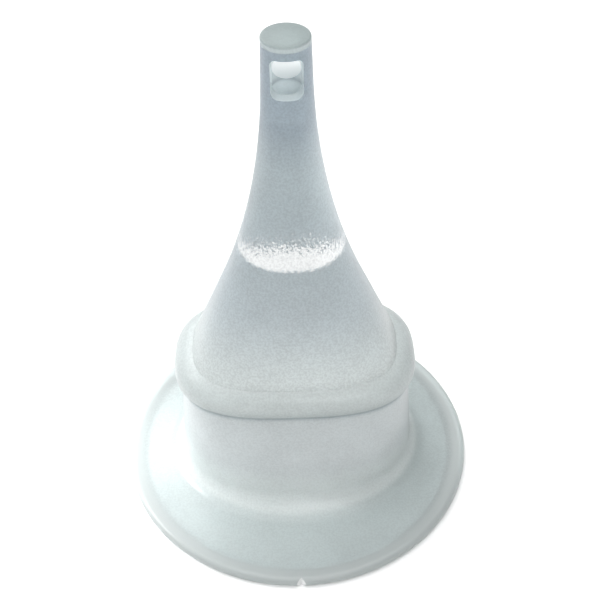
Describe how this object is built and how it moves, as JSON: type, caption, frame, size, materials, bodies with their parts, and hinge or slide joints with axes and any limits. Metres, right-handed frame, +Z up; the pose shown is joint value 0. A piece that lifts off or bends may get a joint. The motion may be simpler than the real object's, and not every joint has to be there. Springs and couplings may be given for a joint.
{
  "type": "otoscope ear tip",
  "caption": "Translucent ear tip: slender closed-nosed cone with a side port, oval collar and neck, and a round flared splash skirt; the cone pulls off the skirt",
  "frame": {"origin": "centre of the plane that the skirt's rim rests on", "axes": "+Z runs up the cone to the nose, +X is the long axis of the oval neck, the side port faces -Y"},
  "size_m": [0.036, 0.036, 0.0499],
  "materials": {
    "grained_plastic": "frosted translucent blue-grey plastic with a fine moulded grain",
    "smooth_plastic": "smooth translucent blue-grey plastic",
    "collar_plastic": "soft satin translucent pale plastic",
    "skirt_plastic": "frosted translucent pale blue-grey soft plastic",
    "hub_plastic": "stiff milky plastic, lightly textured",
    "seal_rubber": "pale grey silicone rubber, matte"
  },
  "bodies": {
    "skirt_base": {"splash_skirt": "skirt_plastic", "inlet_hub": "hub_plastic", "spout_seal": "seal_rubber", "seal_retainer": "hub_plastic"},
    "cone_group": {"nozzle_cone": "grained_plastic", "nose_plug": "smooth_plastic", "collar_bead": "collar_plastic", "neck_seal": "seal_rubber"}
  },
  "joints": [
    {"name": "cone_pull", "type": "slide", "parent": "skirt_base", "child": "cone_group", "axis": [0, 0, 1], "range_m": [0, 0.012]}
  ]
}
